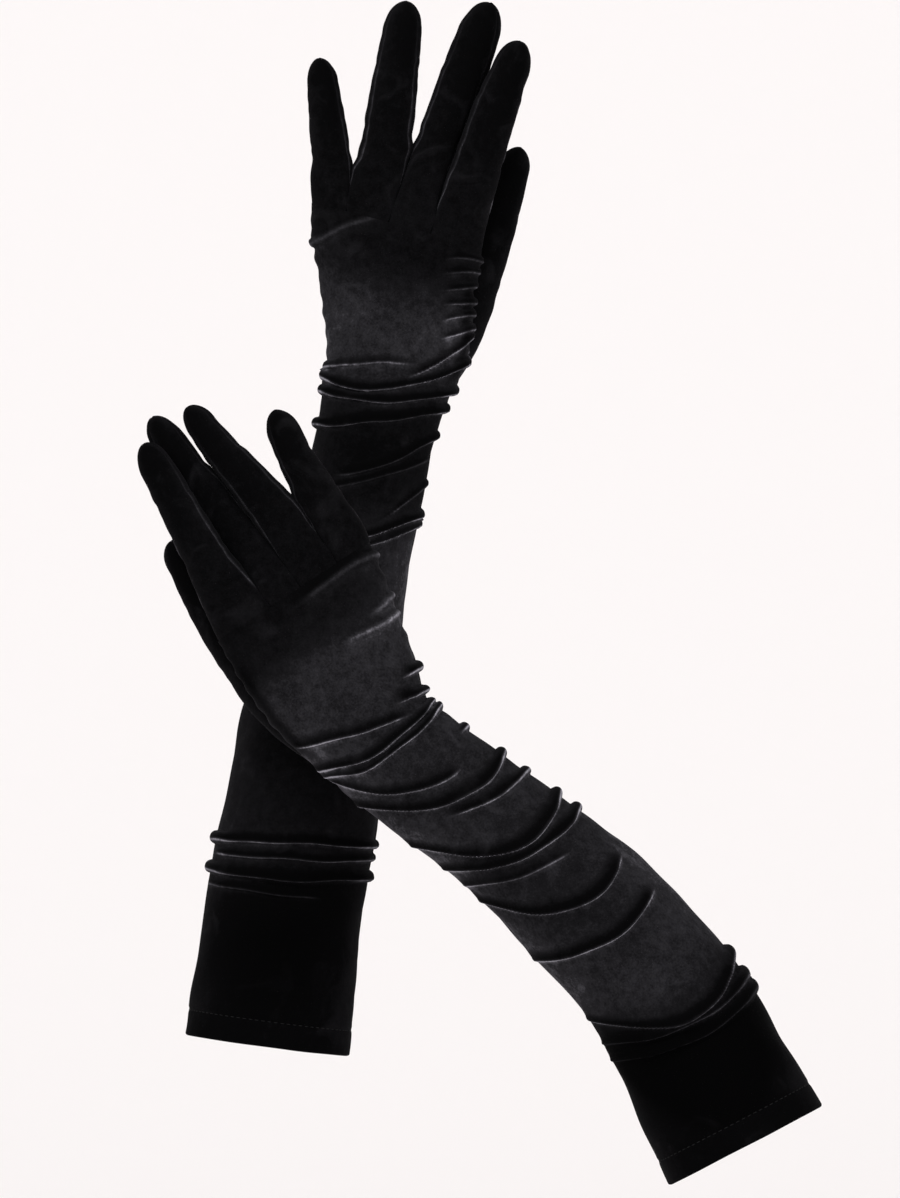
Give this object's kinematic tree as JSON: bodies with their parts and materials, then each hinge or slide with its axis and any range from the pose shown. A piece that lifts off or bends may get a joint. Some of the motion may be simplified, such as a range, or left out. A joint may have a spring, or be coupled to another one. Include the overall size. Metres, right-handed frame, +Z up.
{
  "type": "opera gloves",
  "caption": "Pair of long black stretch-velvet opera gloves in worn shape with crossed forearms, gathered at elbow and wrist, with bending elbows, wrists, thumbs and fingers.",
  "frame": {"origin": "centre of the left glove's arm opening, in the plane of its edge", "axes": "+Z up, near the length of the left glove; +X to the right across both gloves; the backs of both hands face -Y, and the right glove lies 115 mm in front of the left one"},
  "size_m": [0.3139, 0.1934, 0.5473],
  "materials": {
    "velvet": "black stretch velvet, short dense pile with a soft grey sheen where it turns away from the light",
    "velvet_gathered": "the same velvet bunched in soft folds that catch a thin line of light",
    "velvet_hem": "the same velvet turned in once and stitched",
    "velvet_fourchette": "the same velvet cut as narrow strips",
    "seam_allowance": "matt black knitted back of the velvet",
    "thread": "black polyester sewing thread, slightly glossy"
  },
  "bodies": {
    "left_upper": {"left_hem_fold": "velvet_hem", "left_hem_stitch": "thread", "left_upper_back": "velvet", "left_upper_under": "velvet", "left_upper_seams": "seam_allowance"},
    "left_forearm": {"left_elbow_gathers": "velvet_gathered", "left_forearm_back": "velvet", "left_forearm_under": "velvet", "left_forearm_seams": "seam_allowance"},
    "left_hand": {"left_wrist_gathers": "velvet_gathered", "left_hand_back": "velvet", "left_hand_palm": "velvet", "left_hand_seams": "seam_allowance"},
    "left_index": {"left_index_back": "velvet", "left_index_palm": "velvet", "left_index_fourchette": "velvet_fourchette"},
    "left_middle": {"left_middle_back": "velvet", "left_middle_palm": "velvet", "left_middle_outer_fourchette": "velvet_fourchette", "left_middle_inner_fourchette": "velvet_fourchette"},
    "left_ring": {"left_ring_back": "velvet", "left_ring_palm": "velvet", "left_ring_outer_fourchette": "velvet_fourchette", "left_ring_inner_fourchette": "velvet_fourchette"},
    "left_little": {"left_little_back": "velvet", "left_little_palm": "velvet", "left_little_fourchette": "velvet_fourchette"},
    "left_thumb": {"left_thumb_back": "velvet", "left_thumb_front": "velvet"},
    "right_upper": {"right_hem_fold": "velvet_hem", "right_hem_stitch": "thread", "right_upper_back": "velvet", "right_upper_under": "velvet", "right_upper_seams": "seam_allowance"},
    "right_forearm": {"right_elbow_gathers": "velvet_gathered", "right_forearm_back": "velvet", "right_forearm_under": "velvet", "right_forearm_seams": "seam_allowance"},
    "right_hand": {"right_wrist_gathers": "velvet_gathered", "right_hand_back": "velvet", "right_hand_palm": "velvet", "right_hand_seams": "seam_allowance"},
    "right_index": {"right_index_back": "velvet", "right_index_palm": "velvet", "right_index_fourchette": "velvet_fourchette"},
    "right_middle": {"right_middle_back": "velvet", "right_middle_palm": "velvet", "right_middle_outer_fourchette": "velvet_fourchette", "right_middle_inner_fourchette": "velvet_fourchette"},
    "right_ring": {"right_ring_back": "velvet", "right_ring_palm": "velvet", "right_ring_outer_fourchette": "velvet_fourchette", "right_ring_inner_fourchette": "velvet_fourchette"},
    "right_little": {"right_little_back": "velvet", "right_little_palm": "velvet", "right_little_fourchette": "velvet_fourchette"},
    "right_thumb": {"right_thumb_back": "velvet", "right_thumb_front": "velvet"}
  },
  "joints": [
    {"name": "right_glove_lift", "type": "slide", "parent": "left_upper", "child": "right_upper", "axis": [0, -1, 0], "range_m": [0, 0.15]},
    {"name": "left_elbow_bend", "type": "hinge", "parent": "left_upper", "child": "left_forearm", "pos_m": [0.01175, 0, 0.08923], "axis": [0, 1, 0], "range_deg": [-3, 56], "deforming": ["left_elbow_gathers"]},
    {"name": "left_wrist_bend", "type": "hinge", "parent": "left_forearm", "child": "left_hand", "pos_m": [0.05545, 0, 0.30995], "axis": [-0.9659, 0, 0.2588], "range_deg": [-45, 35], "deforming": ["left_wrist_gathers"]},
    {"name": "left_index_curl", "type": "hinge", "parent": "left_hand", "child": "left_index", "pos_m": [0.09323, 0, 0.38679], "axis": [-0.9563, 0, 0.2924], "range_deg": [-10, 60]},
    {"name": "left_middle_curl", "type": "hinge", "parent": "left_hand", "child": "left_middle", "pos_m": [0.06966, 0, 0.3931], "axis": [-0.9466, 0, 0.3223], "range_deg": [-10, 60]},
    {"name": "left_ring_curl", "type": "hinge", "parent": "left_hand", "child": "left_ring", "pos_m": [0.05111, 0, 0.39807], "axis": [-0.9903, 0, 0.1392], "range_deg": [-10, 60]},
    {"name": "left_little_curl", "type": "hinge", "parent": "left_hand", "child": "left_little", "pos_m": [0.02986, 0, 0.40376], "axis": [-0.9925, 0, -0.1219], "range_deg": [-10, 60]},
    {"name": "left_thumb_spread", "type": "hinge", "parent": "left_hand", "child": "left_thumb", "pos_m": [0.09471, 0.02, 0.3367], "axis": [0, 1, 0], "range_deg": [0, 35]},
    {"name": "right_elbow_bend", "type": "hinge", "parent": "right_upper", "child": "right_forearm", "pos_m": [0.18683, -0.115, 0.02564], "axis": [0, -1, 0], "range_deg": [-20, 40], "deforming": ["right_elbow_gathers"]},
    {"name": "right_wrist_bend", "type": "hinge", "parent": "right_forearm", "child": "right_hand", "pos_m": [0.05083, -0.115, 0.14809], "axis": [-0.8339, 0, -0.5519], "range_deg": [-45, 35], "deforming": ["right_wrist_gathers"]},
    {"name": "right_index_curl", "type": "hinge", "parent": "right_hand", "child": "right_index", "pos_m": [-0.00929, -0.115, 0.20903], "axis": [-0.8406, 0, -0.5417], "range_deg": [-10, 60]},
    {"name": "right_middle_curl", "type": "hinge", "parent": "right_hand", "child": "right_middle", "pos_m": [0.00589, -0.115, 0.21907], "axis": [-0.8221, 0, -0.5693], "range_deg": [-10, 60]},
    {"name": "right_ring_curl", "type": "hinge", "parent": "right_hand", "child": "right_ring", "pos_m": [0.02132, -0.115, 0.22928], "axis": [-0.7976, 0, -0.6032], "range_deg": [-10, 60]},
    {"name": "right_little_curl", "type": "hinge", "parent": "right_hand", "child": "right_little", "pos_m": [0.03699, -0.115, 0.23966], "axis": [-0.8652, 0, -0.5015], "range_deg": [-10, 60]},
    {"name": "right_thumb_spread", "type": "hinge", "parent": "right_hand", "child": "right_thumb", "pos_m": [0.00511, -0.095, 0.161], "axis": [0, -1, 0], "range_deg": [0, 35]}
  ]
}
